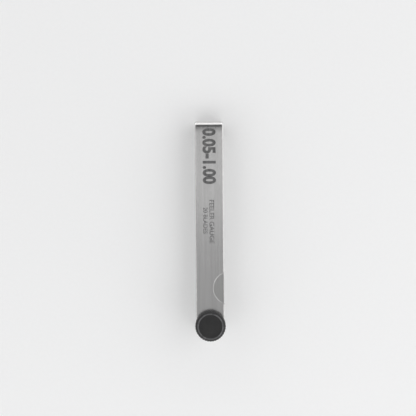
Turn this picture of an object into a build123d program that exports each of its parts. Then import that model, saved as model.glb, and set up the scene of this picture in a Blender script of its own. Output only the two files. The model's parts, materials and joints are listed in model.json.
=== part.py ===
"""A folding feeler gauge: twenty steel blades in a hairpin case, clamped by a knurled knob.

The case is one steel strip folded square at the far end, so both long sides stay open and a blade
can swing out either way. A threaded post is pressed flush into the back cheek. The blades turn on
it, and a knob with a moulded-in M4 screw and two captive washers clamps the cheeks onto the blades.

Everything is built round the pivot, with the pivot axis on Z, the back cheek's outer face at Z = 0
and the tips towards +Y. It is then moved so that the origin is at the middle of the base.
"""

from build123d import *
import os

# ---- Blades ---------------------------------------------------------------------------------
BLADE_COUNT = 20
THICKNESS_STEP = 0.05
BLADE_LENGTH = 100.0
BLADE_WIDTH = 12.7
BLADE_GAP = 0.02  # the film of air and oil on each side of a blade
TIP_CLEARANCE = 2.0  # to the fold's wall, which keeps the outer tips clear of its round corners

# ---- Case strip -----------------------------------------------------------------------------
STRIP_WIDTH = 13.5
STRIP_THICKNESS = 0.9
FOLD_RADIUS = 3.0  # outside radius of the fold's two corners
STRIP_EDGE_ROUND = 0.25
NOTCH_RADIUS = 7.5
NOTCH_DEPTH = 5.2  # from the strip's edge
NOTCH_ALONG = 17.4  # from the pivot axis

# ---- Pivot post -----------------------------------------------------------------------------
POST_DIAMETER = 6.0
POST_HEX = 8.0  # across the flats of the pressed-in head
POST_SETBACK = 0.25  # the post ends this far below the front cheek's outer face
RUNNING_CLEARANCE = 0.05  # radial
POST_CHAMFER = 0.3

# ---- Screw and washers ----------------------------------------------------------------------
SCREW_DIAMETER = 4.0
SCREW_TIP_HEIGHT = 1.6  # the screw's end above the back cheek's outer face
SCREW_TIP_CHAMFER = 0.5
SCREW_HEX = 7.0  # across the flats of the head inside the knob
SCREW_HEAD = 2.8
WASHER_BORE = 4.3
SPRING_WASHER_DIAMETER = 9.0
SPRING_WASHER_THICKNESS = 0.5
SPRING_WASHER_HEIGHT = 0.8  # over its curve, clamped
FLAT_WASHER_DIAMETER = 9.6
FLAT_WASHER_THICKNESS = 0.8

# ---- Knob -----------------------------------------------------------------------------------
KNOB_DIAMETER = 14.3
KNOB_HEIGHT = 6.2
KNOB_LIFT = 0.3  # the skirt's gap above the front cheek
KNOB_FACE = 11.8  # diameter of the flat face
KNOB_SHOULDER = 1.5  # height of the sloping shoulder
KNOB_FACE_RIM = 0.45  # width of the raised rim round the face
KNOB_FACE_SINK = 0.15
KNOB_RECESS = 10.6  # diameter of the pocket that covers the washers
RIB_COUNT = 36
RIB_DEPTH = 0.3

# ---- Worked-out places ----------------------------------------------------------------------
THICKNESSES = [THICKNESS_STEP * (BLADE_COUNT - n) for n in range(BLADE_COUNT)]  # front to back
STACK = sum(THICKNESSES) + BLADE_GAP * (BLADE_COUNT + 1)
CASE_HEIGHT = STACK + 2 * STRIP_THICKNESS
FRONT_INSIDE = CASE_HEIGHT - STRIP_THICKNESS
TIP_REACH = BLADE_LENGTH - BLADE_WIDTH / 2
FOLD_END = TIP_REACH + TIP_CLEARANCE + STRIP_THICKNESS
WASHER_SEAT = CASE_HEIGHT + SPRING_WASHER_HEIGHT
HEAD_SEAT = WASHER_SEAT + FLAT_WASHER_THICKNESS
KNOB_BASE = CASE_HEIGHT + KNOB_LIFT
KNOB_TOP = KNOB_BASE + KNOB_HEIGHT
PIVOT_Y = (KNOB_DIAMETER / 2 - FOLD_END) / 2  # puts the origin at the middle of the whole length


def upright(sketch, low, high):
    """A flat outline raised from one height to another."""
    return extrude(Pos(0, 0, low) * sketch, high - low)


def round_bar(diameter, low, high):
    return upright(Circle(diameter / 2), low, high)


def hex_bar(across_flats, low, high):
    hexagon = RegularPolygon(across_flats / 2, 6, major_radius=False)
    return upright(hexagon, low, high)


def blade(thickness, low):
    """One leaf: parallel sides, both ends round, and the pivot hole on the round end's centre."""
    leaf = Pos(0, TIP_REACH - BLADE_LENGTH / 2) * SlotOverall(BLADE_LENGTH, BLADE_WIDTH, rotation=90)
    leaf -= Circle(POST_DIAMETER / 2 + RUNNING_CLEARANCE)
    return upright(leaf, low, low + thickness)


def folded_outline(inset):
    """The strip's outer or inner line from the side: square, with two round corners at the fold."""
    length = STRIP_WIDTH / 2 + FOLD_END - inset
    middle = FOLD_END - inset - length / 2
    box = Pos(middle, CASE_HEIGHT / 2) * Rectangle(length, CASE_HEIGHT - 2 * inset)
    corners = box.vertices().group_by(Axis.X)[-1]
    return fillet(corners, FOLD_RADIUS - inset)


def case_strip():
    side = folded_outline(0) - folded_outline(STRIP_THICKNESS)
    strip = extrude(Plane.YZ * side, STRIP_WIDTH / 2, both=True)
    plan = Circle(STRIP_WIDTH / 2) + Pos(0, FOLD_END / 2) * Rectangle(STRIP_WIDTH, FOLD_END)
    strip &= upright(plan, 0, CASE_HEIGHT)
    notch = Pos(STRIP_WIDTH / 2 - NOTCH_DEPTH + NOTCH_RADIUS, NOTCH_ALONG) * Circle(NOTCH_RADIUS)
    strip -= upright(notch, FRONT_INSIDE, CASE_HEIGHT)
    strip -= round_bar(POST_DIAMETER + 2 * RUNNING_CLEARANCE, FRONT_INSIDE, CASE_HEIGHT)
    strip -= hex_bar(POST_HEX, 0, STRIP_THICKNESS)
    outside = strip.faces().sort_by(Axis.Z)
    rims = [outside[0].outer_wire().edges(), outside[-1].outer_wire().edges()]
    folds = outside[0].bounding_box().max.Y - STRIP_EDGE_ROUND
    long_edges = [e for rim in rims for e in rim if e.center().Y < folds]
    return fillet(long_edges, STRIP_EDGE_ROUND)


def pivot_post():
    """A press-in standoff: hex head flush in the back cheek, smooth barrel, tapped right through."""
    top = CASE_HEIGHT - POST_SETBACK
    post = hex_bar(POST_HEX, 0, STRIP_THICKNESS) + round_bar(POST_DIAMETER, STRIP_THICKNESS, top)
    crown = post.faces().sort_by(Axis.Z)[-1].outer_wire().edges()
    post = chamfer(crown, POST_CHAMFER)
    return post - round_bar(SCREW_DIAMETER + 2 * RUNNING_CLEARANCE, 0, top)


def clamp_screw():
    """The M4 screw, drawn at its thread's outside diameter, with the hex head moulded in the knob."""
    shank = round_bar(SCREW_DIAMETER, SCREW_TIP_HEIGHT, HEAD_SEAT)
    shank = chamfer(shank.edges().sort_by(Axis.Z)[0], SCREW_TIP_CHAMFER)
    return shank + hex_bar(SCREW_HEX, HEAD_SEAT, HEAD_SEAT + SCREW_HEAD)


def washer(diameter, low, high):
    return round_bar(diameter, low, high) - round_bar(WASHER_BORE, low, high)


def spring_washer():
    """A curved spring washer: a ring cut from a sheet that is bent round one axis."""
    rise = SPRING_WASHER_HEIGHT - SPRING_WASHER_THICKNESS
    half = SPRING_WASHER_DIAMETER / 2
    bend = (half**2 + rise**2) / (2 * rise)
    crown = Plane.XZ * Pos(0, CASE_HEIGHT + SPRING_WASHER_HEIGHT - bend - SPRING_WASHER_THICKNESS)
    arch = Circle(bend + SPRING_WASHER_THICKNESS) - Circle(bend)
    sheet = extrude(crown * arch, half, both=True)
    return sheet & washer(SPRING_WASHER_DIAMETER, CASE_HEIGHT, WASHER_SEAT)


def knob():
    """A moulded cap: ribbed skirt, sloping shoulder, sunk flat face, and a pocket over the washers."""
    ribbed = Circle(KNOB_DIAMETER / 2)
    ribbed -= PolarLocations(KNOB_DIAMETER / 2, RIB_COUNT) * RegularPolygon(RIB_DEPTH, 4)
    body = upright(ribbed, KNOB_BASE, KNOB_TOP)
    shoulder = KNOB_TOP - KNOB_SHOULDER
    envelope = round_bar(KNOB_DIAMETER, KNOB_BASE, shoulder)
    cone_height = KNOB_SHOULDER / 2 + shoulder
    envelope += Pos(0, 0, cone_height) * Cone(KNOB_DIAMETER / 2, KNOB_FACE / 2, KNOB_SHOULDER)
    body &= envelope
    body -= round_bar(KNOB_FACE - 2 * KNOB_FACE_RIM, KNOB_TOP - KNOB_FACE_SINK, KNOB_TOP)
    body -= round_bar(KNOB_RECESS, KNOB_BASE, HEAD_SEAT)
    return body - hex_bar(SCREW_HEX, HEAD_SEAT, HEAD_SEAT + SCREW_HEAD)


def blades():
    """Every blade by its node's name, stacked from the front cheek down to the back one."""
    made = {}
    height = FRONT_INSIDE
    for thickness in THICKNESSES:
        height -= BLADE_GAP + thickness
        made["blade_" + f"{thickness:.2f}".replace(".", "_")] = blade(thickness, height)
    return made


def main():
    pieces = {
        "case_strip": case_strip(),
        "pivot_post": pivot_post(),
        "clamp_screw": clamp_screw(),
        "spring_washer": spring_washer(),
        "flat_washer": washer(FLAT_WASHER_DIAMETER, WASHER_SEAT, HEAD_SEAT),
        "knob": knob(),
        **blades(),
    }
    os.makedirs("parts", exist_ok=True)
    for name, piece in pieces.items():
        export_step(Pos(0, PIVOT_Y, 0) * piece, f"parts/{name}.step")


main()
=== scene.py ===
"""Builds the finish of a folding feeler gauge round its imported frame.

Run as a script in Blender. Shapes are drawn in millimetres round the pivot axis, with the back
cheek's outer face at zero height, and are then moved into the frame, which is in metres.
"""

import json
import math

import bmesh
import bpy
from bpy.props import (
    FloatProperty,
    FloatVectorProperty,
    IntProperty,
    PointerProperty,
    StringProperty,
)
from bpy.types import Operator, Panel, PropertyGroup
from mathutils import Matrix, Vector


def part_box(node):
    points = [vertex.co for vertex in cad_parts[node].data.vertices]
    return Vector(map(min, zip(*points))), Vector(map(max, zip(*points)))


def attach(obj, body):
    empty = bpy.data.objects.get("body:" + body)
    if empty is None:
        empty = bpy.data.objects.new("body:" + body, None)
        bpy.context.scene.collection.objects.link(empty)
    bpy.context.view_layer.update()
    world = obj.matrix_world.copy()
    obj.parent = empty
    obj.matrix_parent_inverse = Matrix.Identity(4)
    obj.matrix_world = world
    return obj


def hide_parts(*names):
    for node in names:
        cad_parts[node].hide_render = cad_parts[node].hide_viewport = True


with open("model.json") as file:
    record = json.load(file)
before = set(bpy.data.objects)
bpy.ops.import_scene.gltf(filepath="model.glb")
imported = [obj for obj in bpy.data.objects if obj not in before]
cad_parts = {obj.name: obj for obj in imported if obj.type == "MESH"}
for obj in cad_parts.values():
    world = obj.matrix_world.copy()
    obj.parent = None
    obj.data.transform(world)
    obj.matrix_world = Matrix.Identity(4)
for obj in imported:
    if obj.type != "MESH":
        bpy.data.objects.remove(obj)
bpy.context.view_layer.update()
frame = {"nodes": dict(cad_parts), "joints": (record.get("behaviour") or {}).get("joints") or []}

bl_info = {
    "name": "Feeler gauge",
    "version": (1, 0, 0),
    "blender": (4, 5, 0),
    "location": "3D View > Sidebar > Gauge",
    "description": "Builds a folding feeler gauge round its frame, with a small studio",
    "category": "Object",
}

MM = 0.001
PIVOT = next(Vector(j["pos_m"]) for j in frame["joints"] if j["name"] == "knob_turn")
BLADE_NODES = sorted((n for n in frame["nodes"] if n.startswith("blade_")), reverse=True)
TO_FRAME = Matrix.Translation((PIVOT.x, PIVOT.y, 0)) @ Matrix.Scale(MM, 4)
RIM = "rim"  # vertex value: 1 on rounded edges, 0 on flats, raised on the case's first bend for a painted highlight

# Fixed measures, in millimetres
BEND_LEAD = 2.8  # how far before its first bend the strip starts to thin
NOTCH_RUN = 0.8  # how far past the notch the strip's edge takes to get its full rounding
SCREW_HEAD = 2.8  # height of the screw's hex head
SUNK_FACE = 0.15  # how far the knob's face lies under its rim
WASHER_BORE = 2.15  # radius of both washers' holes
MARK_FILM = 0.008  # thickness of an etched mark's film

# Fixed measures, in metres
FLOOR_RADIUS = 0.9
FLOOR_GAP = 0.00003  # how far the floor is under the case

# Shares
NOTCH_EASE = 0.27  # how much of the strip's edge rounding the notch gets
BEND_PAINTED_HIGHLIGHT = 1.6  # rim value added on the outer face of the first bend: a painted highlight that lightens the steel there
HIGHLIGHT_FROM, HIGHLIGHT_TO = 0.45, 1.3  # where that starts and ends, in lengths of the bend


def span(node):
    """A frame node's lowest and highest corner, in millimetres from the pivot axis."""
    low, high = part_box(node)
    axis = Vector((PIVOT.x, PIVOT.y, 0))
    return (low - axis) / MM, (high - axis) / MM


STRIP_HIGH = span("case_strip")[1]
POST_HIGH = span("pivot_post")[1]
KNOB_LOW, KNOB_HIGH = span("knob")
SCREW_LOW, SCREW_HIGH = span("clamp_screw")


# ---- What a user can change -------------------------------------------------------------------


def length(name, description, millimetres):
    """A length, stored in metres like the rest of the file."""
    return FloatProperty(
        name=name,
        description=description,
        default=millimetres * MM,
        min=0,
        unit="LENGTH",
        precision=5,
    )


def level(name, description, default, **limits):
    """A plain number, such as an amount or a brightness."""
    return FloatProperty(name=name, description=description, default=default, min=0, **limits)


def wording(name, description, default):
    return StringProperty(name=name, description=description, default=default)


def tint(name, description, default):
    return FloatVectorProperty(
        name=name, description=description, default=default, min=0, max=1, size=3, subtype="COLOR"
    )


class GaugeSizes(PropertyGroup):
    strip_thickness: length("Strip thickness", "Thickness of the folded case strip", 0.9)
    fold_radius: length("Fold radius", "Outside radius of the strip's two bends", 3.0)
    strip_round: length("Strip edge", "Width of the rounding of the strip's outer long edges", 0.9)
    strip_drop: length("Strip edge drop", "Height of that rounding", 0.35)
    bend_thinning: length("Bend thinning", "How much thinner the strip gets at its bend", 0.055)
    notch_radius: length("Notch radius", "Radius of the thumb notch", 7.5)
    notch_depth: length("Notch depth", "How far the thumb notch cuts in from the edge", 5.2)
    notch_along: length("Notch place", "Distance of the thumb notch from the pivot", 17.4)
    post_hole: length("Post hole", "Radius of the hole for the post in the front cheek", 3.05)
    post_hex: length("Post head", "Width across the flats of the post's pressed-in head", 8.0)
    post_radius: length("Post radius", "Radius of the post's barrel", 3.0)
    screw_hex: length("Screw head", "Width across the flats of the screw's head", 7.0)
    thread_major: length("Thread crest", "Outside radius of the screw's thread", 1.98)
    thread_minor: length("Thread root", "Root radius of the screw's thread", 1.58)
    thread_pitch: length("Thread pitch", "Lead of the screw's thread in one turn", 0.7)
    rib_depth: length("Rib depth", "Depth of the grooves between the knob's ribs", 0.3)
    rib_count: IntProperty(name="Ribs", description="Number of the knob's ribs", default=36, min=12)
    range_words: wording("Range", "Large numerals on the front cheek", "0.05-1.00")
    name_words: wording("Name", "Small line beside the range", "FEELER GAUGE")
    count_words: wording("Count", "Second small line", f"{len(BLADE_NODES)} BLADES")


class GaugeFinish(PropertyGroup):
    case_steel: tint("Strip steel", "Colour of the case strip", (0.62, 0.615, 0.61))
    blade_steel: tint("Blade steel", "Colour of the ground blades", (0.56, 0.56, 0.55))
    zinc: tint("Zinc plate", "Colour of the post, screw and washers", (0.66, 0.67, 0.69))
    mark: tint("Etched mark", "Colour of the etched marks", (0.12, 0.12, 0.12))
    plastic: tint("Knob plastic", "Colour of the knob", (0.017, 0.017, 0.0175))
    # Scales the edge lightening: real rubbing, and the painted highlights on the case's bend and
    # the knob's rim.
    wear_and_highlight: level("Wear", "How much the edges are rubbed", 0.6, max=1, subtype="FACTOR")
    oil: level("Oil", "How much oil film is on the steel", 0.5, max=1, subtype="FACTOR")


class GaugeStudio(PropertyGroup):
    floor: tint("Floor", "Colour of the floor", (0.93, 0.93, 0.93))
    sky: level("Room", "Brightness of the unlit room", 0.13)
    backdrop: level("Backdrop", "Brightness of the pale backdrop", 0.85)
    camera_height: length("Camera height", "Height of the camera above the front cheek", 480)
    camera_left: length("Camera left", "How far the camera is to the left of the pivot", 0.7)
    camera_along: length("Camera along", "How far the camera is past the pivot", 55.3)
    camera_roll: FloatProperty(
        name="Camera roll",
        description="Turn of the camera about its view",
        default=math.radians(-0.5),
        subtype="ANGLE",
    )
    lens: FloatProperty(name="Lens", description="Focal length", default=88, min=10, unit="CAMERA")


# ---- Mesh tools -------------------------------------------------------------------------------


def new_shape():
    shape = bmesh.new()
    shape.verts.layers.float.new(RIM)
    return shape


def add_point(shape, x, y, z, rim=0.0):
    point = shape.verts.new((x, y, z))
    point[shape.verts.layers.float[RIM]] = rim
    return point


def circle(radius, centre=(0, 0), start=0, sweep=-math.tau, steps=64):
    """Points along an arc, or round a hole. A whole circle leaves its last point out, as it
    closes by itself."""
    whole = abs(abs(sweep) - math.tau) < 1e-6
    count = steps if whole else steps + 1
    x, y = centre
    turns = [start + sweep * i / steps for i in range(count)]
    return [Vector((x + radius * math.cos(a), y + radius * math.sin(a))) for a in turns]


def round_end(half, middle, facing):
    """A plate's half-round end, facing 1 or -1 along Y."""
    return circle(half, (0, middle), 0 if facing > 0 else math.pi, math.pi, 48)


def offset_loop(points, distances):
    """A closed outline moved to its left, with mitred corners and a distance for each point."""
    moved = []
    for i, here in enumerate(points):
        before = (here - points[i - 1]).normalized()
        after = (points[(i + 1) % len(points)] - here).normalized()
        left = Vector((-before.y - after.y, before.x + after.x))
        moved.append(here + left * (distances[i] / (1 + before.dot(after))))
    return moved


def rim_levels(low, high, under, over, steps, drop=None):
    """Steps up a plate's edge, as (inset, height, rim): a margin, a round, the side and a round.
    over is the upper round's width, and drop is its height where that differs."""
    drop = over if drop is None else drop
    margin = 0.08
    turns = [math.pi / 2 * i / steps for i in range(steps + 1)]
    levels = [(under + margin, low, 0.0)]
    for i, a in enumerate(turns):
        levels.append((under * (1 - math.sin(a)), low + under * (1 - math.cos(a)), min(i, 1)))
    for i, a in enumerate(turns):
        inset, height = over * (1 - math.cos(a)), high - drop * (1 - math.sin(a))
        levels.append((inset, height, min(steps - i, 1)))
    return levels + [(over + margin, high, 0.0)]


def add_plate(shape, outlines, eases=None):
    """A plate with rounded edges, from (outline, levels) pairs with one lowest and one highest
    level. Each outline has the metal on its left, so a hole runs clockwise. eases holds, for each
    point of the first outline, how much of the rounding it gets."""
    ends = ([], [])
    for outline, levels in outlines:
        shares = eases or [1.0] * len(outline)
        eases = None
        low, high = levels[0][1], levels[-1][1]
        rings = []
        for inset, height, rim in levels:
            end = high if 2 * height > low + high else low
            moved = offset_loop(outline, [inset * share for share in shares])
            rings.append([
                add_point(shape, point.x, point.y, end + (height - end) * share, rim)
                for point, share in zip(moved, shares)
            ])
        for lower, upper in zip(rings, rings[1:]):
            for i in range(len(outline)):
                shape.faces.new((lower[i - 1], lower[i], upper[i], upper[i - 1]))
        for end, ring in zip(ends, (rings[0], rings[-1])):
            end += [shape.edges.get((ring[i - 1], ring[i])) for i in range(len(ring))]
    for end in ends:
        bmesh.ops.triangle_fill(shape, edges=end, use_beauty=True)


def add_rings(shape, rings, count, closed=False):
    """Skins rings round the pivot axis, each (radius, height, rim). A radius or a rim may be a
    function of the angle, a height one of the distance across, and a radius of 0 is a point."""
    rows = []
    for radius, height, rim in rings:
        if radius == 0:
            rows.append([add_point(shape, 0, 0, height, rim)])
            continue
        row = []
        for i in range(count):
            a = math.tau * i / count
            r = radius(a) if callable(radius) else radius
            z = height(r * math.cos(a)) if callable(height) else height
            worn = rim(a) if callable(rim) else rim
            row.append(add_point(shape, r * math.cos(a), r * math.sin(a), z, worn))
        rows.append(row)
    pairs = list(zip(rows, rows[1:]))
    if closed:
        pairs.append((rows[-1], rows[0]))
    for lower, upper in pairs:
        for i in range(count):
            places = ((lower, i - 1), (lower, i), (upper, i), (upper, i - 1))
            corners = [row[place % len(row)] for row, place in places]
            shape.faces.new(list(dict.fromkeys(corners)))


def hexagon(across, round_to=None):
    """The radius of a hexagon's outline at an angle, with its corners turned down to round_to."""

    def radius(angle):
        within = (angle % (math.pi / 3)) - math.pi / 6
        flat = across / 2 / math.cos(within)
        return min(flat, round_to) if round_to else flat

    return radius


def helix(pitch, minor, major, height, low, high):
    """The radius of a right-handed V thread at an angle, kept between low and high."""

    def radius(angle):
        phase = (height / pitch - angle / math.tau) % 1
        ridge = min(max((1 - abs(2 * phase - 1)) * 1.3 - 0.15, 0), 1)  # flat root and crest
        return min(max(minor + (major - minor) * ridge, low), high)

    return radius


def settle(name, shape, body, stands_for, finishes, crease=30):
    """Moves a finished shape into the frame and makes it a piece that rides on a body."""
    bmesh.ops.recalc_face_normals(shape, faces=shape.faces)
    bmesh.ops.transform(shape, matrix=TO_FRAME, verts=shape.verts)
    mesh = bpy.data.meshes.new(name)
    shape.to_mesh(mesh)
    shape.free()
    mesh.polygons.foreach_set("use_smooth", [True] * len(mesh.polygons))
    mesh.set_sharp_from_angle(angle=math.radians(crease))
    for finish in finishes:
        mesh.materials.append(finish_named(finish))
    piece = bpy.data.objects.new(name, mesh)
    bpy.context.scene.collection.objects.link(piece)
    piece.modifiers.new("Flats stay flat", "WEIGHTED_NORMAL").keep_sharp = True
    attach(piece, body)
    if stands_for:
        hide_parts(*stands_for)


def add_letters(shape, words, cap_height, run, foot, top, bold, material=0):
    """Plain letters as a thin raised film, reading towards the pivot, with tops to the right."""
    curve = bpy.data.curves.new("letters", "FONT")
    curve.body = words
    curve.offset = bold
    curve.extrude = 0.5  # to each side, so that the letters are one unit deep
    holder = bpy.data.objects.new("letters", curve)
    film = bpy.data.meshes.new_from_object(holder)
    xs = [v.co.x for v in film.vertices]
    ys = [v.co.y for v in film.vertices]
    along = run / (max(xs) - min(xs))
    up = cap_height / (max(ys) - min(ys))
    centred = Matrix.Translation((-min(xs), -min(ys), 0.5))
    size = Matrix.Diagonal((along, up, MARK_FILM, 1))
    turned = Matrix.Rotation(-math.pi / 2, 4, "Z")
    film.transform(Matrix.Translation((*foot, top)) @ turned @ size @ centred)
    cleaned = bmesh.new()
    cleaned.from_mesh(film)
    bmesh.ops.remove_doubles(cleaned, verts=cleaned.verts, dist=1e-5)
    bmesh.ops.holes_fill(cleaned, edges=cleaned.edges, sides=4)
    cleaned.to_mesh(film)
    cleaned.free()
    film.polygons.foreach_set("material_index", [material] * len(film.polygons))
    shape.from_mesh(film)
    bpy.data.objects.remove(holder)
    bpy.data.curves.remove(curve)
    bpy.data.meshes.remove(film)


# ---- Node groups ------------------------------------------------------------------------------


# Sockets that several groups have
PLACE = ("Vector", "NodeSocketVector")
AMOUNT = ("Amount", "NodeSocketFloat", 0.5)
MASK = ("Mask", "NodeSocketFloat")


def new_group(name, inputs, outputs):
    """A shader node group with named sockets, given as (name, kind) or (name, kind, default)."""
    group = bpy.data.node_groups.new(name, "ShaderNodeTree")
    for socket in inputs:
        made = group.interface.new_socket(socket[0], in_out="INPUT", socket_type=socket[1])
        if len(socket) > 2:
            made.default_value = socket[2]
    for socket in outputs:
        group.interface.new_socket(socket[0], in_out="OUTPUT", socket_type=socket[1])
    start = group.nodes.new("NodeGroupInput")
    end = group.nodes.new("NodeGroupOutput")
    return group, start.outputs, end.inputs


def add_node(tree, kind, sockets=None, **settings):
    """A node with its settings, and its sockets linked or set by name or number."""
    made = tree.nodes.new(kind)
    for key, value in settings.items():
        setattr(made, key, value)
    for key, value in (sockets or {}).items():
        if isinstance(value, bpy.types.NodeSocket):
            tree.links.new(value, made.inputs[key])
        else:
            made.inputs[key].default_value = value
    return made


def sums(tree, operation, first, second=0.0, third=0.0):
    """The result of one math node."""
    made = add_node(tree, "ShaderNodeMath", {0: first, 1: second, 2: third}, operation=operation)
    return made.outputs[0]


def ramp(tree, value, low, high, to_low=0.0, to_high=1.0):
    """A value moved from one range to another, and kept inside it."""
    sockets = {"Value": value, "From Min": low, "From Max": high}
    sockets |= {"To Min": to_low, "To Max": to_high}
    return add_node(tree, "ShaderNodeMapRange", sockets).outputs["Result"]


def product(tree, first, *others):
    """Two or more values multiplied."""
    for other in others:
        first = sums(tree, "MULTIPLY", first, other)
    return first


def blend(tree, factor, first, second):
    """A colour between two others."""
    sockets = {"Factor": factor, "A": first, "B": second}
    return add_node(tree, "ShaderNodeMix", sockets, data_type="RGBA").outputs["Result"]


def stretched_noise(tree, vector, scales, detail=3.0, turn=0.0):
    """Noise whose cells are 1/scale metres long in each direction."""
    turned = add_node(tree, "ShaderNodeMapping", {"Vector": vector, "Rotation": (0, 0, turn)})
    sockets = {0: turned.outputs["Vector"], 1: scales}
    sized = add_node(tree, "ShaderNodeVectorMath", sockets, operation="MULTIPLY").outputs[0]
    sockets = {"Vector": sized, "Scale": 1.0, "Detail": detail, "Roughness": 0.6}
    return add_node(tree, "ShaderNodeTexNoise", sockets).outputs["Fac"]


def tinted(tree, colour, value):
    """A colour made lighter or darker by a value."""
    scaled = add_node(tree, "ShaderNodeVectorMath", {0: colour}, operation="SCALE")
    tree.links.new(value, scaled.inputs["Scale"])
    return scaled.outputs[0]


def brushed_grain_group():
    """Long parallel brush lines along Y: fine ones for gloss, wide ones for the faint stripes."""
    group, given, made = new_group(
        "Brushed grain",
        [PLACE, ("Width", "NodeSocketFloat", 0.1), ("Contrast", "NodeSocketFloat", 0.1)],
        [("Tone", "NodeSocketFloat"), ("Height", "NodeSocketFloat")],
    )
    lines = sums(group, "DIVIDE", 1 / MM, given["Width"])
    broad = product(group, lines, 0.14)
    fine_scale = add_node(group, "ShaderNodeCombineXYZ", {"X": lines, "Y": 30.0, "Z": lines})
    broad_scale = add_node(group, "ShaderNodeCombineXYZ", {"X": broad, "Y": 14.0, "Z": broad})
    fine = stretched_noise(group, given["Vector"], fine_scale.outputs[0], 2.0)
    wide = stretched_noise(group, given["Vector"], broad_scale.outputs[0], 2.0)
    mixed = sums(group, "MULTIPLY_ADD", wide, 0.6, product(group, fine, 0.4))
    swing = product(group, sums(group, "SUBTRACT", mixed, 0.5), given["Contrast"])
    group.links.new(sums(group, "MULTIPLY_ADD", swing, 4.0, 1.0), made["Tone"])
    group.links.new(fine, made["Height"])
    return group


def hairline_group():
    """Sparse thin scratches that lie near the brush lines and now and then cross them."""
    group, given, made = new_group("Hairline scratches", [PLACE, AMOUNT], [MASK])
    lines = []
    for turn, across, along in ((0.12, 1500, 12), (-0.25, 1100, 10), (1.2, 1300, 12)):
        line = stretched_noise(group, given["Vector"], (across, along, across), 1.0, turn)
        near = sums(group, "ABSOLUTE", sums(group, "SUBTRACT", line, 0.5))
        lines.append(ramp(group, near, 0.0, 0.012, 1.0, 0.0))
    patch = ramp(group, stretched_noise(group, given["Vector"], (160, 90, 160), 1.0), 0.52, 0.66)
    most = sums(group, "MAXIMUM", sums(group, "MAXIMUM", lines[0], lines[1]), lines[2])
    group.links.new(product(group, most, patch, given["Amount"]), made["Mask"])
    return group


def edge_wear_and_highlight_group():
    """Where handling has rubbed the rounded edges bright, broken up so that it isn't a line. It
    also brightens painted highlights: the case's first bend, where the rim value is raised, and the
    knob's face rim, which the plastic lightens tenfold.
    """
    sockets = [PLACE, ("Rim", "NodeSocketFloat"), AMOUNT]
    group, given, made = new_group("Rubbed edge", sockets, [MASK])
    patches = stretched_noise(group, given["Vector"], (900, 500, 900), 3.0)
    broken = ramp(group, patches, 0.35, 0.6, 0.35, 1.0)
    group.links.new(product(group, given["Rim"], broken, given["Amount"]), made["Mask"])
    return group


def film_group():
    """Thin patches of oil and dust, as a mask and as a tone that darkens what is under them."""
    sockets = [MASK, ("Tone", "NodeSocketFloat")]
    group, given, made = new_group("Oil and dust film", [PLACE, AMOUNT], sockets)
    patches = ramp(group, stretched_noise(group, given["Vector"], (120, 70, 120), 4.0), 0.38, 0.7)
    dots = stretched_noise(group, given["Vector"], (2600, 2600, 2600), 2.0)
    specks = ramp(group, dots, 0.66, 0.74)
    mask = product(group, patches, given["Amount"])
    speckled = sums(group, "MULTIPLY_ADD", specks, 0.3, product(group, mask, 0.12))
    group.links.new(mask, made["Mask"])
    darkened = product(group, speckled, given["Amount"])
    group.links.new(sums(group, "SUBTRACT", 1.0, darkened), made["Tone"])
    return group


GROUPS = {
    "Brushed grain": brushed_grain_group,
    "Hairline scratches": hairline_group,
    "Rubbed edge": edge_wear_and_highlight_group,
    "Oil and dust film": film_group,
}


def effect(tree, name, **sockets):
    """One of the shared groups, placed in a material, and built when first asked for."""
    group = bpy.data.node_groups.get(name) or GROUPS[name]()
    return add_node(tree, "ShaderNodeGroup", sockets, node_tree=group).outputs


# ---- Materials --------------------------------------------------------------------------------


def new_material(name, **fixed):
    """An empty material: its tree, its principled shader, its place vector and its rim value."""
    material = bpy.data.materials.new(name)
    material.use_nodes = True
    tree = material.node_tree
    shader = tree.nodes["Principled BSDF"]
    for key, value in fixed.items():
        shader.inputs[key.replace("_", " ")].default_value = value
    place = add_node(tree, "ShaderNodeTexCoord").outputs["Object"]
    rim = add_node(tree, "ShaderNodeAttribute", attribute_name=RIM).outputs["Fac"]
    return material, tree, shader.inputs, place, rim


def add_bump(tree, sockets, height, distance):
    given = {"Height": height, "Distance": distance, "Strength": 1.0}
    bump = add_node(tree, "ShaderNodeBump", given)
    tree.links.new(bump.outputs["Normal"], sockets["Normal"])


def steel_material(name, colour, finish, width, contrast, gloss, bump, scratches):
    """Brushed steel: grain, hairlines, rubbed edges, a painted highlight where the rim value is
    raised on the case's first bend, and an oil film. width is a brush line's and bump the grain's
    depth, both in millimetres."""
    coat = {"Coat_Roughness": 0.12, "Coat_IOR": 1.45}
    material, tree, sockets, place, rim = new_material(name, Metallic=1.0, **coat)
    grain = effect(tree, "Brushed grain", Vector=place, Width=width, Contrast=contrast)
    hair = effect(tree, "Hairline scratches", Vector=place, Amount=scratches)
    edge = effect(tree, "Rubbed edge", Vector=place, Rim=rim, Amount=finish.wear_and_highlight)
    film = effect(tree, "Oil and dust film", Vector=place, Amount=finish.oil)
    tone = product(tree, grain["Tone"], film["Tone"])
    tone = sums(tree, "MULTIPLY_ADD", hair["Mask"], 0.14, tone)
    # Edge lightening: real rubbing on the rounded edges, and a painted highlight on the first bend
    # of the case.
    tone = sums(tree, "MULTIPLY_ADD", edge["Mask"], 0.28, tone)
    tree.links.new(tinted(tree, colour, tone), sockets["Base Color"])
    rough = ramp(tree, grain["Height"], 0.25, 0.75, gloss - 0.05, gloss + 0.07)
    rough = sums(tree, "MULTIPLY_ADD", film["Mask"], 0.05, rough)
    tree.links.new(sums(tree, "MULTIPLY_ADD", edge["Mask"], -0.08, rough), sockets["Roughness"])
    tree.links.new(product(tree, film["Mask"], 0.35), sockets["Coat Weight"])
    height = sums(tree, "MULTIPLY_ADD", hair["Mask"], -0.9, grain["Height"])
    add_bump(tree, sockets, height, bump * MM)
    return material


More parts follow.
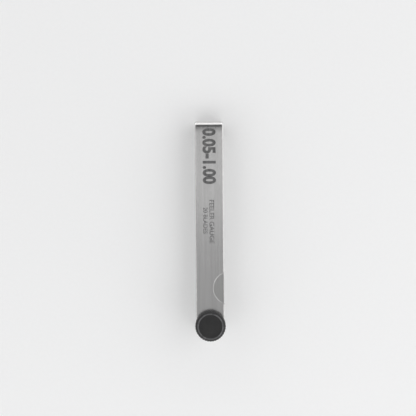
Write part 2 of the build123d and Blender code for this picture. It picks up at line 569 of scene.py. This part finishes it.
def zinc_material(name, colour, finish):
    """Bright zinc plate with the faint blue and straw clouds of its clear passivate."""
    material, tree, sockets, place, rim = new_material(name, Metallic=1.0)
    clouds = stretched_noise(tree, place, (420, 420, 420), 4.0)
    straw = [c * k for c, k in zip(colour, (1.04, 1.0, 0.90))]
    blue = [c * k for c, k in zip(colour, (0.95, 1.0, 1.05))]
    cloudy = blend(tree, ramp(tree, clouds, 0.35, 0.65), (*blue, 1), (*straw, 1))
    edge = effect(tree, "Rubbed edge", Vector=place, Rim=rim, Amount=finish.wear_and_highlight)
    film = effect(tree, "Oil and dust film", Vector=place, Amount=finish.oil)
    tone = sums(tree, "MULTIPLY_ADD", edge["Mask"], 0.2, film["Tone"])
    tree.links.new(tinted(tree, cloudy, tone), sockets["Base Color"])
    fine = stretched_noise(tree, place, (9000, 9000, 9000), 2.0)
    tree.links.new(ramp(tree, clouds, 0.3, 0.7, 0.22, 0.36), sockets["Roughness"])
    add_bump(tree, sockets, fine, 0.004 * MM)
    return material


def mark_material(name, colour, steel, worn):
    """A dark etched mark, mottled and in places worn down to the brushed steel under it."""
    material, tree, sockets, place, _ = new_material(name, Metallic=0.4)
    grain = effect(tree, "Brushed grain", Vector=place, Width=0.12, Contrast=0.35)
    mottle = ramp(tree, stretched_noise(tree, place, (2400, 1200, 2400), 4.0), 0.3, 0.7, 0.8, 1.2)
    patches = ramp(tree, stretched_noise(tree, place, (900, 150, 900), 3.0), 0.35, 0.65, 0.0, worn)
    faded = blend(tree, patches, (*colour, 1), (*steel, 1))
    tone = product(tree, grain["Tone"], mottle)
    tree.links.new(tinted(tree, faded, tone), sockets["Base Color"])
    tree.links.new(ramp(tree, mottle, 0.8, 1.2, 0.5, 0.68), sockets["Roughness"])
    add_bump(tree, sockets, grain["Height"], 0.003 * MM)
    return material


def plastic_material(name, colour, finish):
    """Moulded black plastic: a fine spark-eroded skin, greyer rubbed rib crests, a painted
    highlight on the rim round the face, and a little dust.
    """
    material, tree, sockets, place, rim = new_material(name, Specular_IOR_Level=0.32)
    skin = stretched_noise(tree, place, (5200, 5200, 5200), 3.0)
    cells = add_node(tree, "ShaderNodeTexVoronoi", {"Vector": place, "Scale": 3800.0})
    flow = ramp(tree, stretched_noise(tree, place, (260, 260, 260), 3.0), 0.3, 0.7, 0.88, 1.15)
    edge = effect(tree, "Rubbed edge", Vector=place, Rim=rim, Amount=finish.wear_and_highlight)
    film = effect(tree, "Oil and dust film", Vector=place, Amount=0.7)
    # Rim values lighten the colour tenfold: real rubbing on the rib crests, and a painted highlight
    # on the raised rim round the face.
    tone = sums(tree, "MULTIPLY_ADD", edge["Mask"], 10.0, flow)
    dust = (0.25, 0.24, 0.22, 1)
    dusty = blend(tree, product(tree, film["Mask"], 0.06), tinted(tree, colour, tone), dust)
    tree.links.new(dusty, sockets["Base Color"])
    rough = ramp(tree, skin, 0.3, 0.7, 0.4, 0.54)
    tree.links.new(sums(tree, "MULTIPLY_ADD", edge["Mask"], -0.1, rough), sockets["Roughness"])
    height = sums(tree, "MULTIPLY_ADD", cells.outputs["Distance"], 0.6, skin)
    add_bump(tree, sockets, height, 0.006 * MM)
    return material


def floor_material(name, colour):
    material, tree, sockets, place, _ = new_material(name, Roughness=0.85)
    fibre = ramp(tree, stretched_noise(tree, place, (700, 700, 700), 4.0), 0.3, 0.7, 0.985, 1.0)
    tree.links.new(tinted(tree, colour, fibre), sockets["Base Color"])
    return material


def finish_named(name):
    """A shared material, built the first time it is asked for."""
    if name in bpy.data.materials:
        return bpy.data.materials[name]
    finish = bpy.context.scene.gauge_finish
    studio = bpy.context.scene.gauge_studio
    case, blade = finish.case_steel, finish.blade_steel
    makers = {
        "Strip steel": lambda: steel_material(
            name, case, finish, width=0.12, contrast=0.1, gloss=0.18, bump=0.006, scratches=0.5
        ),
        "Blade steel": lambda: steel_material(
            name, blade, finish, width=0.05, contrast=0.1, gloss=0.16, bump=0.003, scratches=0.3
        ),
        "Zinc plate": lambda: zinc_material(name, finish.zinc, finish),
        "Etched mark": lambda: mark_material(name, finish.mark, case, worn=0.1),
        "Worn mark": lambda: mark_material(name, finish.mark, case, worn=0.3),
        "Knob plastic": lambda: plastic_material(name, finish.plastic, finish),
        "Studio floor": lambda: floor_material(name, studio.floor),
    }
    return makers[name]()


# ---- The pieces -------------------------------------------------------------------------------


def sizes_in_mm(scene):
    """The user's lengths in millimetres, and the other sizes as they are."""
    sizes = scene.gauge_sizes
    found = {}
    for key, prop in sizes.bl_rna.properties.items():
        if prop.type == "FLOAT":
            found[key] = getattr(sizes, key) / MM
        elif prop.type in ("INT", "STRING"):
            found[key] = getattr(sizes, key)
    return found


def strip_blank(size, back):
    """The outline of the flat strip, counter-clockwise from its front end, with the thumb notch,
    and how much of the edge's rounding each point gets: the notch is only deburred."""
    half, radius = STRIP_HIGH.x, size["notch_radius"]
    centre = half - size["notch_depth"] + radius
    side = math.pi - math.acos((centre - half) / radius)
    notch = circle(radius, (centre, size["notch_along"]), -side, 2 * (side - math.pi), 56)
    before = round_end(half, 0, -1) + [Vector((half, notch[0].y - NOTCH_RUN))]
    after = [Vector((half, notch[-1].y + NOTCH_RUN))] + round_end(half, back, 1)
    eases = [1.0] * len(before) + [NOTCH_EASE] * len(notch) + [1.0] * len(after)
    return before + notch + after, eases


def strip_runs(size):
    """Lengths along the strip's middle: the flat up to a bend, one bend and the end wall."""
    radius = size["fold_radius"]
    quarter = (radius - size["strip_thickness"] / 2) * math.pi / 2
    return STRIP_HIGH.y - radius, quarter, STRIP_HIGH.z - 2 * radius


def fold_strip(size, x, along, out):
    """Where a point of the flat blank goes once the strip is folded. out is its distance from the
    strip's middle."""
    height, radius, thickness = STRIP_HIGH.z, size["fold_radius"], size["strip_thickness"]
    flat, quarter, wall = strip_runs(size)
    middle = radius - thickness / 2
    thinning = size["bend_thinning"] if out > 0 else 0
    if along <= flat:
        near = max(1 - (flat - along) / BEND_LEAD, 0)
        return x, along, height - thickness / 2 + out - thinning * near**2
    along -= flat
    if along <= quarter:
        a = along / middle
        reach = middle + out - thinning * math.cos(a) ** 2
        return x, flat + reach * math.sin(a), height - radius + reach * math.cos(a)
    along -= quarter
    if along <= wall:
        return x, flat + middle + out, height - radius - along
    along -= wall
    if along <= quarter:
        a = along / middle
        return x, flat + (middle + out) * math.cos(a), radius - (middle + out) * math.sin(a)
    return x, flat - (along - quarter), thickness / 2 - out


def fold_case(scene):
    """The case: a flat blank with its notch and holes, folded square round its two bends."""
    size = sizes_in_mm(scene)
    flat, quarter, wall = strip_runs(size)
    back = 2 * (flat + quarter) + wall
    post_hole = circle(size["post_hole"])
    hex_hole = circle(size["post_hex"] / math.sqrt(3), (0, back), steps=6)
    half = size["strip_thickness"] / 2
    outer = rim_levels(-half, half, 0.12, size["strip_round"], 6, size["strip_drop"])
    inner = rim_levels(-half, half, 0.05, 0.05, 2)
    blank, eases = strip_blank(size, back)
    shape = new_shape()
    add_plate(shape, [(blank, outer), (post_hole, inner), (hex_hole, inner)], eases)
    lead_cuts, bend_cuts = 8, 14
    cuts = [flat - BEND_LEAD * (1 - i / lead_cuts) for i in range(lead_cuts)]
    for start in (flat, flat + quarter + wall):
        cuts += [start + quarter * i / bend_cuts for i in range(bend_cuts + 1)]
    for cut in cuts:
        everything = shape.verts[:] + shape.edges[:] + shape.faces[:]
        bmesh.ops.bisect_plane(
            shape, geom=everything, plane_co=(0, cut, 0), plane_no=(0, 1, 0), dist=1e-5
        )
    # Painted highlight: the outer face of the first bend gets extra rim value, so the edge
    # lightening brightens the steel's colour along it.
    rims = shape.verts.layers.float[RIM]
    for point in shape.verts:
        bent = (point.co.y - flat) / quarter
        if point.co.z > 0 and HIGHLIGHT_FROM < bent < HIGHLIGHT_TO:
            point[rims] += BEND_PAINTED_HIGHLIGHT * min((bent - HIGHLIGHT_FROM) * 6, 1)
        point.co = fold_strip(size, *point.co)
    settle("case_strip_folded", shape, "case", ["case_strip"], ["Strip steel"])


def mark_case(scene):
    """The etched marks on the front cheek: the range in large numerals and two small lines."""
    size = sizes_in_mm(scene)
    marks = (
        ("case_range_mark", size["range_words"], 6.3, 26.4, (-3.1, 93.0), 0.045, "Etched mark"),
        ("case_name_mark", size["name_words"], 2.3, 20.5, (-0.1, 59.1), 0.02, "Worn mark"),
        ("case_count_mark", size["count_words"], 2.1, 12.4, (-3.0, 55.6), 0.02, "Worn mark"),
    )
    for name, words, cap_height, run, foot, bold, finish in marks:
        shape = new_shape()
        add_letters(shape, words, cap_height, run, foot, STRIP_HIGH.z, bold)
        settle(name, shape, "case", [], [finish], 60)


def stack_blades(scene):
    """The blades: flat leaves with round ends and eased edges, each etched with its thickness."""
    hole_radius = sizes_in_mm(scene)["post_hole"]
    numeral, spacing, from_tip = 3.4, 2.5, 8
    for node in BLADE_NODES:
        low, high = span(node)
        half = high.x
        thickness = high.z - low.z
        ease = min(0.06, 0.25 * thickness)
        outline = round_end(half, high.y - half, 1) + round_end(half, 0, -1)
        hole = circle(hole_radius, steps=48)
        levels = rim_levels(low.z, high.z, ease, ease, 3)
        shape = new_shape()
        add_plate(shape, [(outline, levels), (hole, levels)])
        words = f"{thickness:.2f}"
        foot = (-numeral / 2, high.y - from_tip)
        add_letters(shape, words, numeral, spacing * len(words), foot, high.z, 0.025, material=1)
        settle(node + "_leaf", shape, node, [node], ["Blade steel", "Etched mark"])


def thread_rings(size, low, high, gap=0.0, tightest=None, widest=None):
    """Rings up a helical thread, ten to a turn. tightest and widest bound its radius by height."""
    pitch = size["thread_pitch"]
    minor, major = size["thread_minor"] + gap, size["thread_major"] + gap
    steps = round((high - low) / pitch * 10)
    rings = []
    for i in range(steps + 1):
        height = low + (high - low) * i / steps
        least = tightest(height) if tightest else 0.0
        most = widest(height) if widest else math.inf
        rings.append((helix(pitch, minor, major, height, least, most), height, 0.3))
    return rings


def press_post(scene):
    """The pivot post: a hex head pressed flush in the back cheek, a barrel and a tapped hole."""
    size = sizes_in_mm(scene)
    top, cheek = POST_HIGH.z, size["strip_thickness"]
    barrel = size["post_radius"] - 0.02
    across = size["post_hex"] - 0.05
    corner = across / math.sqrt(3) - 0.12
    mouth = size["thread_major"] + 0.3

    def chamfered(height):
        return max(mouth - height, mouth - (top - height), 0)

    rings = [
        (mouth, 0.0, 0.0),
        (hexagon(across - 0.12, corner - 0.06), 0.0, 0.0),
        (hexagon(across, corner), 0.05, 1.0),
        (hexagon(across, corner), cheek - 0.02, 0.0),
        (barrel, cheek - 0.02, 0.0),
        (barrel, top - 0.35, 0.0),
        (barrel - 0.05, top - 0.27, 1.0),
        (barrel - 0.27, top - 0.05, 1.0),
        (barrel - 0.34, top, 0.0),
        (mouth, top, 0.0),
    ]
    rings += reversed(thread_rings(size, 0.02, top - 0.02, 0.08, tightest=chamfered))
    shape = new_shape()
    add_rings(shape, rings, 60, closed=True)
    settle("pivot_post_turned", shape, "case", ["pivot_post"], ["Zinc plate"])


def cut_screw(scene):
    """The clamping screw: a rolled thread, a plain neck and the hex head inside the knob."""
    size = sizes_in_mm(scene)
    tip, head, minor = SCREW_LOW.z, SCREW_HIGH.z - SCREW_HEAD, size["thread_minor"]
    across = size["screw_hex"] - 0.02
    corner = across / math.sqrt(3) - 0.1
    thread_end = head - 0.7

    def pointed(height):
        return min(minor - 0.2 + height - tip, minor + 0.1 + 1.5 * (thread_end - height))

    rings = [(0, tip, 0.0), (minor - 0.3, tip, 0.0)]
    rings += thread_rings(size, tip + 0.05, thread_end, widest=pointed)
    rings += [
        (minor + 0.12, head - 0.6, 0.0),
        (minor + 0.12, head - 0.15, 0.0),
        (minor + 0.3, head, 0.0),
        (hexagon(across - 0.1, corner - 0.1), head, 0.0),
        (hexagon(across, corner), head + 0.08, 1.0),
        (hexagon(across, corner), SCREW_HIGH.z - 0.3, 1.0),
        (hexagon(across, corner - 0.3), SCREW_HIGH.z - 0.04, 1.0),
        (0, SCREW_HIGH.z - 0.04, 0.0),
    ]
    shape = new_shape()
    add_rings(shape, rings, 60)
    settle(
        "clamp_screw_threaded", shape, "lock_knob", ["clamp_screw"], ["Zinc plate"]
    )


def add_washers(scene):
    """The two captive washers: a curved spring washer and a flat one with a stamped round edge."""
    low, high = span("spring_washer")
    inner, outer = WASHER_BORE, high.x
    rise, thickness, soft = 0.3, 0.5, 0.07
    bend = (outer**2 + rise**2) / (2 * rise)
    crown = high.z - thickness - bend

    def lifted(over):
        return lambda x: crown + math.sqrt(bend**2 - x**2) + over

    across = (inner + soft, 2.9, 3.6, outer - soft)
    profile = [(radius, 0, 0) for radius in across]
    profile += [(outer, soft, 1), (outer, thickness - soft, 1)]
    profile += [(radius, thickness, 0) for radius in reversed(across)]
    profile += [(inner, thickness - soft, 1), (inner, soft, 1)]
    curved = [(radius, lifted(over), rim) for radius, over, rim in profile]

    low, high = span("flat_washer")
    stamped = 0.22  # radius of the edge that the punch has drawn down
    flat = [(inner + 0.05, low.z, 0), (high.x - 0.05, low.z, 0), (high.x, low.z + 0.05, 1)]
    for a in (1.57, 1.05, 0.52, 0):
        radius, height = high.x - stamped * (1 - math.sin(a)), high.z - stamped * (1 - math.cos(a))
        flat.append((radius, height, 1))
    flat += [(inner + 0.15, high.z, 0), (inner, high.z - 0.12, 1), (inner, low.z + 0.05, 1)]

    for name, node, rings in (
        ("spring_washer_curved", "spring_washer", curved),
        ("flat_washer_stamped", "flat_washer", flat),
    ):
        shape = new_shape()
        add_rings(shape, rings, 72, closed=True)
        settle(name, shape, "captive_washers", [node], ["Zinc plate"])


def mould_knob(scene):
    """The knob: ribs round the skirt that run out on the sloping shoulder, a raised rim round the
    sunk face, and a pocket underneath for the washers and the screw's head."""
    size = sizes_in_mm(scene)
    outer, base, top = KNOB_HIGH.x, KNOB_LOW.z, KNOB_HIGH.z
    head_seat, head_top = SCREW_HIGH.z - SCREW_HEAD, SCREW_HIGH.z
    face, pocket = top - SUNK_FACE, 5.3
    rim_edge, shoulder, shoulder_steps = 6.02, 1.62, 9
    groove_half = 0.27  # share of the ribs' spacing

    def groove(angle):
        turn = (angle / math.tau * size["rib_count"]) % 1 - 0.5
        return 0.5 + 0.5 * math.cos(math.pi * min(abs(turn) / groove_half, 1))

    def ribbed(limit):
        return lambda angle: min(limit, outer - size["rib_depth"] * groove(angle))

    def crests(worn):
        return lambda angle: 0.04 + worn * (1 - groove(angle)) ** 2

    rings = [(0, face, 0), (2.6, face, 0), (5.3, face, 0), (5.42, top - 0.13, 0)]
    # The raised rim's rim value of 1 is lightened tenfold by the plastic: a painted highlight ring
    # round the face.
    rings += [(5.5, top - 0.08, 0.4), (5.54, top - 0.03, 1), (5.62, top, 1), (5.78, top - 0.01, 1)]
    rings += [(5.9, top - 0.05, 1), (6.0, top - 0.14, 1)]
    for i in range(1, shoulder_steps + 1):
        a = math.pi / 2 * i / shoulder_steps
        reach = rim_edge + (outer - rim_edge) * math.sin(a) ** 0.9
        height = top - 0.16 - shoulder * (1 - math.cos(a))
        rings.append((ribbed(reach), height, crests(0.012 * i)))
    rings += [(ribbed(outer), top - 2.2, crests(0.16)), (ribbed(outer), base + 0.6, crests(0.1))]
    rings += [(ribbed(outer), base + 0.3, crests(0.2)), (ribbed(outer - 0.12), base + 0.1, 0.4)]
    rings += [(ribbed(outer - 0.3), base, 0.1)]
    rings += [(pocket + 0.15, base, 0), (pocket, base + 0.12, 1), (pocket, head_seat, 0)]
    socket = hexagon(size["screw_hex"])
    rings += [(socket, head_seat, 0), (socket, head_top, 0), (0, head_top, 0)]
    shape = new_shape()
    add_rings(shape, rings, 8 * size["rib_count"])
    settle("knob_moulded", shape, "lock_knob", ["knob"], ["Knob plastic"], 35)


# ---- The studio -------------------------------------------------------------------------------


def add_panel_light(name, place, aim, width, height, radiance):
    """A soft rectangular light of a given brightness, facing a point. Sizes are in metres."""
    light = bpy.data.lights.new(name, "AREA")
    light.shape = "RECTANGLE"
    light.size, light.size_y = width, height
    light.energy = radiance * math.pi * width * height
    panel = bpy.data.objects.new(name, light)
    panel.location = place
    panel.rotation_euler = (Vector(aim) - Vector(place)).to_track_quat("-Z", "Y").to_euler()
    panel.visible_camera = False
    bpy.context.scene.collection.objects.link(panel)


def light_studio(scene):
    """The pale floor, the soft lights, the room and the camera straight above the front cheek."""
    studio = scene.gauge_studio
    disc = bmesh.new()
    bmesh.ops.create_circle(disc, cap_ends=True, segments=96, radius=FLOOR_RADIUS)
    mesh = bpy.data.meshes.new("studio_floor")
    disc.to_mesh(mesh)
    disc.free()
    mesh.materials.append(finish_named("Studio floor"))
    floor = bpy.data.objects.new("studio_floor", mesh)
    floor.location.z = -FLOOR_GAP
    scene.collection.objects.link(floor)

    world = bpy.data.worlds.new("Room")
    world.use_nodes = True
    tree = world.node_tree
    room = tree.nodes["Background"].inputs
    room["Color"].default_value = (0.97, 0.98, 1, 1)
    seen = add_node(tree, "ShaderNodeLightPath").outputs["Is Camera Ray"]
    tree.links.new(ramp(tree, seen, 0, 1, studio.sky, studio.backdrop), room["Strength"])
    scene.world = world

    panels = (
        ("far_panel", (0, 0.82, 0.311), (0, 0.05, 0), 1.8, 0.56, 1.45),
        ("near_panel", (0, -0.728, 0.529), (0, 0, 0), 2.4, 0.92, 1.12),
        ("right_panel", (0.62, 0, 0.653), (0, 0, 0), 1.3, 0.71, 0.9),
        ("low_right_panel", (0.875, 0, 0.21), (0, 0, 0), 1.5, 0.36, 1.4),
        ("left_panel", (-0.62, 0, 0.653), (0, 0, 0), 1.3, 0.71, 0.6),
        ("low_left_panel", (-0.875, 0, 0.21), (0, 0, 0), 1.5, 0.36, 0.95),
        ("top_panel", (0, -0.115, 0.95), (0, -0.115, 0), 0.6, 0.57, 0.32),
        ("ring_panel", (0, 0.082, 0.94), (0, 0.082, 0), 0.6, 0.175, 0.37),
    )
    for name, place, aim, width, height, radiance in panels:
        add_panel_light(name, place, aim, width, height, radiance)

    lens = bpy.data.cameras.new("Camera")
    lens.lens = studio.lens
    lens.sensor_width = 36
    lens.clip_start = 0.01
    camera = bpy.data.objects.new("Camera", lens)
    camera.location = (
        PIVOT.x - studio.camera_left,
        PIVOT.y + studio.camera_along,
        STRIP_HIGH.z * MM + studio.camera_height,
    )
    camera.rotation_euler = (0, 0, studio.camera_roll)
    scene.collection.objects.link(camera)
    scene.camera = camera
    scene.view_settings.view_transform = "Standard"


# ---- Operators and panel ----------------------------------------------------------------------


class GaugeOperator:
    """What the gauge's operators share: each one runs its build function on the scene."""

    bl_options = {"REGISTER", "UNDO"}

    def execute(self, context):
        type(self).build(context.scene)
        return {"FINISHED"}


class GAUGE_OT_fold_case(GaugeOperator, Operator):
    """Fold the case from its flat strip"""

    bl_idname = "gauge.fold_case"
    bl_label = "Fold the case"
    build = staticmethod(fold_case)


class GAUGE_OT_mark_case(GaugeOperator, Operator):
    """Etch the range and the two small lines on the front cheek"""

    bl_idname = "gauge.mark_case"
    bl_label = "Mark the case"
    build = staticmethod(mark_case)


class GAUGE_OT_stack_blades(GaugeOperator, Operator):
    """Grind the blades and etch each one with its thickness"""

    bl_idname = "gauge.stack_blades"
    bl_label = "Stack the blades"
    build = staticmethod(stack_blades)


class GAUGE_OT_press_post(GaugeOperator, Operator):
    """Press the tapped pivot post into the back cheek"""

    bl_idname = "gauge.press_post"
    bl_label = "Press in the post"
    build = staticmethod(press_post)


class GAUGE_OT_cut_screw(GaugeOperator, Operator):
    """Roll the thread of the clamping screw"""

    bl_idname = "gauge.cut_screw"
    bl_label = "Cut the screw"
    build = staticmethod(cut_screw)


class GAUGE_OT_add_washers(GaugeOperator, Operator):
    """Put the spring washer and the flat washer under the knob"""

    bl_idname = "gauge.add_washers"
    bl_label = "Add the washers"
    build = staticmethod(add_washers)


class GAUGE_OT_mould_knob(GaugeOperator, Operator):
    """Mould the ribbed knob round the screw's head"""

    bl_idname = "gauge.mould_knob"
    bl_label = "Mould the knob"
    build = staticmethod(mould_knob)


class GAUGE_OT_light_studio(GaugeOperator, Operator):
    """Lay the floor and set up the lights and the camera"""

    bl_idname = "gauge.light_studio"
    bl_label = "Light the studio"
    build = staticmethod(light_studio)


OPERATORS = (
    GAUGE_OT_fold_case,
    GAUGE_OT_mark_case,
    GAUGE_OT_stack_blades,
    GAUGE_OT_press_post,
    GAUGE_OT_cut_screw,
    GAUGE_OT_add_washers,
    GAUGE_OT_mould_knob,
    GAUGE_OT_light_studio,
)


class GAUGE_PT_sidebar(Panel):
    """The sizes, finishes and steps of the feeler gauge"""

    bl_idname = "GAUGE_PT_sidebar"
    bl_label = "Feeler gauge"
    bl_space_type = "VIEW_3D"
    bl_region_type = "UI"
    bl_category = "Gauge"

    def draw(self, context):
        scene = context.scene
        for title, group in (
            ("Sizes", scene.gauge_sizes),
            ("Finish", scene.gauge_finish),
            ("Studio", scene.gauge_studio),
        ):
            box = self.layout.box()
            box.label(text=title)
            for key in type(group).__annotations__:
                box.prop(group, key)
        for operator in OPERATORS:
            self.layout.operator(operator.bl_idname)


CLASSES = (GaugeSizes, GaugeFinish, GaugeStudio, *OPERATORS, GAUGE_PT_sidebar)


def register():
    for cls in CLASSES:
        bpy.utils.register_class(cls)
    bpy.types.Scene.gauge_sizes = PointerProperty(type=GaugeSizes)
    bpy.types.Scene.gauge_finish = PointerProperty(type=GaugeFinish)
    bpy.types.Scene.gauge_studio = PointerProperty(type=GaugeStudio)


def unregister():
    del bpy.types.Scene.gauge_studio
    del bpy.types.Scene.gauge_finish
    del bpy.types.Scene.gauge_sizes
    for cls in reversed(CLASSES):
        bpy.utils.unregister_class(cls)


def main():
    register()
    for operator in OPERATORS:
        group, name = operator.bl_idname.split(".")
        getattr(getattr(bpy.ops, group), name)()


if __name__ == "__main__":
    main()
